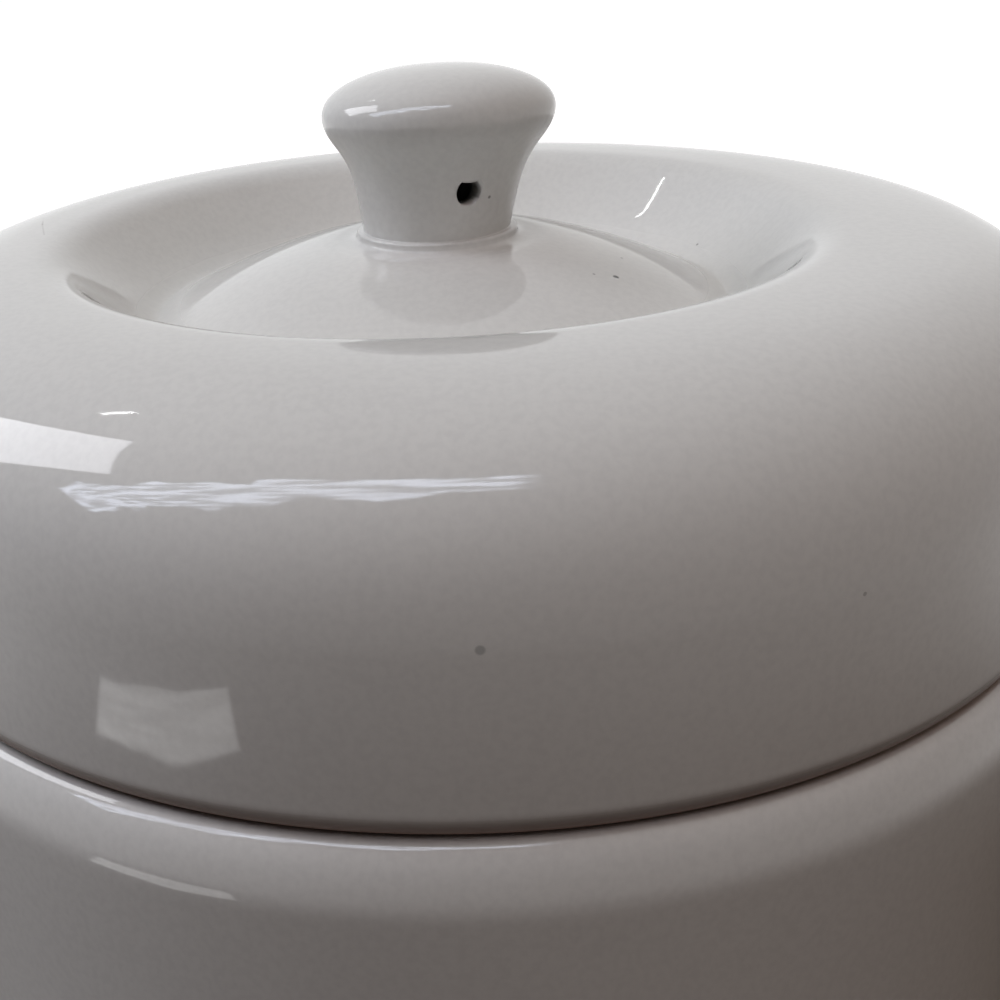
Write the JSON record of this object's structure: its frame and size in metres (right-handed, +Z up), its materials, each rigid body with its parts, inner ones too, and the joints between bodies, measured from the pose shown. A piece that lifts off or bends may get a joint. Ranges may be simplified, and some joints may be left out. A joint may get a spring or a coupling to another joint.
{
  "type": "ceramic canister",
  "caption": "Round white glazed ceramic storage canister with a rolled lift-off lid, a sunken well in the lid and a hollow mushroom knob.",
  "frame": {"origin": "centre of the foot ring, on the surface that the canister stands on", "axes": "+Z up along the canister's axis, -Y towards the viewer of the knob's vent hole, +X to that viewer's right"},
  "size_m": [0.199, 0.199, 0.2424],
  "materials": {
    "pot_glaze": "glossy off-white glaze",
    "lid_glaze": "glossy off-white glaze",
    "knob_glaze": "glossy off-white glaze"
  },
  "bodies": {
    "pot": {"pot": "pot_glaze"},
    "lid": {"lid": "lid_glaze", "knob": "knob_glaze"}
  },
  "joints": [
    {"name": "lid_lift", "type": "slide", "parent": "pot", "child": "lid", "axis": [0, 0, 1], "range_m": [0, 0.12]}
  ]
}
